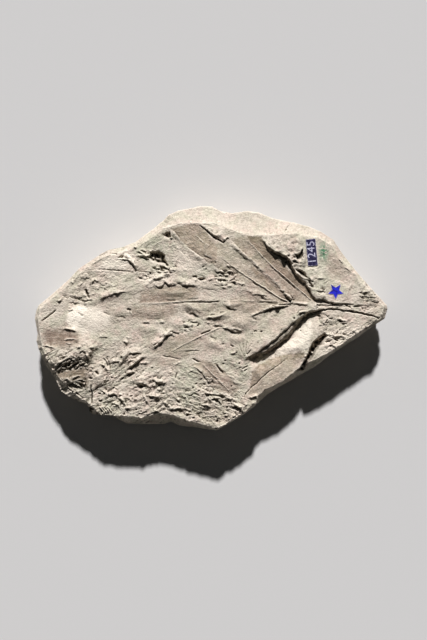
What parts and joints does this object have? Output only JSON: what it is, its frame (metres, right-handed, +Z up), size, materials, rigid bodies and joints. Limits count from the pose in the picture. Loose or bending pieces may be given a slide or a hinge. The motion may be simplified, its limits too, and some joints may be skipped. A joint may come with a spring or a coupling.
{
  "type": "fossil sapindopsis leaf",
  "caption": "Loose slab of pale mudstone with the raised and grooved relief of a compound fossil leaf, a small number label and a star sticker; lies face up on its flat back.",
  "frame": {"origin": "middle of the underside's plane, at the centre of the slab's box", "axes": "+X along the slab's length to the leaf stalk's end, +Y across it to the thick bank's edge, +Z up out of the leaf's face"},
  "size_m": [0.186, 0.1197, 0.0281],
  "materials": {
    "mudstone": "matt, fine grained, with brown leaf film and broken bedding",
    "label": "dark label with pale figures and a slight sheen",
    "sticker": "vivid blue, smooth"
  },
  "bodies": {
    "root": {"stone_slab": "mudstone", "number_label": "label", "star_sticker": "sticker"}
  },
  "joints": []
}
